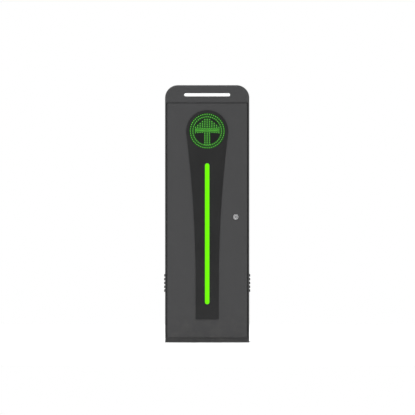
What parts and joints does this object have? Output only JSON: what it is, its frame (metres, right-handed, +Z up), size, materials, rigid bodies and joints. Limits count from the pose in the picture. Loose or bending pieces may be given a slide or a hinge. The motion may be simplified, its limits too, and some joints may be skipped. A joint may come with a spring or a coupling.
{
  "type": "parking barrier drive cabinet",
  "caption": "Slim charcoal steel street cabinet with a lit arrow sign, a green light bar, a locking door and a sprung boom drive inside.",
  "frame": {"origin": "centre of the base plate's underside on the ground", "axes": "+Z up, the door and its sign face -Y, the boom shaft leaves towards +Y"},
  "size_m": [0.338, 0.318, 1.009],
  "materials": {
    "charcoal_paint": "satin",
    "gloss_black_panel": "gloss",
    "matt_black_plastic": "matt",
    "green_light": "satin",
    "zinc_plate": "satin",
    "machined_steel": "machined",
    "chrome_trim": "polished",
    "black_rubber": "matt",
    "cast_housing": "painted",
    "cast_aluminium": "cast",
    "bronze_gear": "machined",
    "brass_plate": "satin",
    "white_badge": "satin",
    "pale_plastic": "matt",
    "red_plastic": "gloss",
    "green_plastic": "gloss",
    "yellow_plastic": "gloss"
  },
  "bodies": {
    "cabinet": {"base_frame": "charcoal_paint", "cabinet_shell": "charcoal_paint", "top_cover": "charcoal_paint", "cover_seal": "black_rubber", "cover_screws": "zinc_plate", "blank_badge": "white_badge", "door_gasket": "black_rubber", "hinge_frame_leaves": "zinc_plate", "hinge_pins": "zinc_plate", "support_uprights": "zinc_plate", "chassis": "zinc_plate", "chassis_bolts": "zinc_plate", "shaft_bearings": "cast_housing", "shaft_seal": "black_rubber", "gearbox_case": "cast_aluminium", "motor_case": "cast_housing", "spring_bracket": "zinc_plate", "spring_eye_bolts": "zinc_plate", "balance_springs": "machined_steel", "stop_buffers": "black_rubber", "limit_sensors": "brass_plate", "mounting_plate": "zinc_plate", "din_rail": "zinc_plate", "circuit_breaker": "pale_plastic", "terminal_row": "pale_plastic", "controller_case": "matt_black_plastic", "power_supply": "zinc_plate", "gland_plate": "zinc_plate", "cable_grommets": "black_rubber"},
    "door": {"front_door": "charcoal_paint", "door_ribs": "charcoal_paint", "fascia_panel": "gloss_black_panel", "sign_housing": "matt_black_plastic", "sign_board": "gloss_black_panel", "sign_leds": "green_light", "light_diffuser": "green_light", "light_channel": "zinc_plate", "hinge_door_leaves": "zinc_plate", "lock_housing": "chrome_trim"},
    "lock": {"lock_barrel": "chrome_trim", "lock_cam": "zinc_plate"},
    "boom_drive": {"main_shaft": "machined_steel", "boom_lever": "machined_steel", "boom_flange": "machined_steel", "sensor_cam": "matt_black_plastic", "spring_crossbar": "machined_steel", "rod_pin": "machined_steel"},
    "crank": {"output_shaft": "machined_steel", "drive_crank": "machined_steel", "crank_pin": "machined_steel", "worm_wheel": "bronze_gear"},
    "rod": {"connecting_rod": "machined_steel"},
    "shackles": {"spring_shackles": "zinc_plate"},
    "worm": {"worm_shaft": "machined_steel", "hand_wheel": "red_plastic"},
    "toggle": {"breaker_toggle": "matt_black_plastic"},
    "raise_key": {"raise_button": "green_plastic"},
    "stop_key": {"stop_button": "red_plastic"},
    "lower_key": {"lower_button": "yellow_plastic"}
  },
  "joints": [
    {"name": "door_swing", "type": "hinge", "parent": "cabinet", "child": "door", "pos_m": [-0.151, -0.138, 0.48], "axis": [0, 0, -1], "range_deg": [0, 95]},
    {"name": "lock_turn", "type": "hinge", "parent": "door", "child": "lock", "pos_m": [0.1125, -0.145, 0.492], "axis": [0, -1, 0], "range_deg": [0, 90]},
    {"name": "boom_shaft", "type": "hinge", "parent": "cabinet", "child": "boom_drive", "pos_m": [0, 0, 0.829], "axis": [0, 1, 0], "range_deg": [0, 90], "deforming": ["balance_springs"]},
    {"name": "crank_turn", "type": "hinge", "parent": "cabinet", "child": "crank", "pos_m": [0, 0, 0.529], "axis": [0, 1, 0], "range_deg": [0, 90]},
    {"name": "rod_swing", "type": "hinge", "parent": "crank", "child": "rod", "pos_m": [-0.04243, -0.046, 0.48657], "axis": [0, 1, 0], "range_deg": [-90, 0]},
    {"name": "shackle_swing", "type": "hinge", "parent": "boom_drive", "child": "shackles", "pos_m": [0.05657, -0.026, 0.88557], "axis": [0, 1, 0], "range_deg": [-90, 0]},
    {"name": "worm_turn", "type": "hinge", "parent": "cabinet", "child": "worm", "pos_m": [0, 0.072, 0.485], "axis": [1, 0, 0], "range_deg": [0, 1800]},
    {"name": "breaker_switch", "type": "hinge", "parent": "cabinet", "child": "toggle", "pos_m": [-0.094, 0.0597, 0.112], "axis": [1, 0, 0], "range_deg": [0, 70]},
    {"name": "raise_press", "type": "slide", "parent": "cabinet", "child": "raise_key", "axis": [0, 1, 0], "range_m": [0, 0.003], "stiffness_N_per_m": 300},
    {"name": "stop_press", "type": "slide", "parent": "cabinet", "child": "stop_key", "axis": [0, 1, 0], "range_m": [0, 0.003], "stiffness_N_per_m": 300},
    {"name": "lower_press", "type": "slide", "parent": "cabinet", "child": "lower_key", "axis": [0, 1, 0], "range_m": [0, 0.003], "stiffness_N_per_m": 300}
  ],
  "couplings": [
    {"joint": "crank_turn", "follows": "boom_shaft", "ratio": 1},
    {"joint": "rod_swing", "follows": "boom_shaft", "ratio": -1},
    {"joint": "shackle_swing", "follows": "boom_shaft", "ratio": -1},
    {"joint": "worm_turn", "follows": "boom_shaft", "ratio": 20}
  ]
}
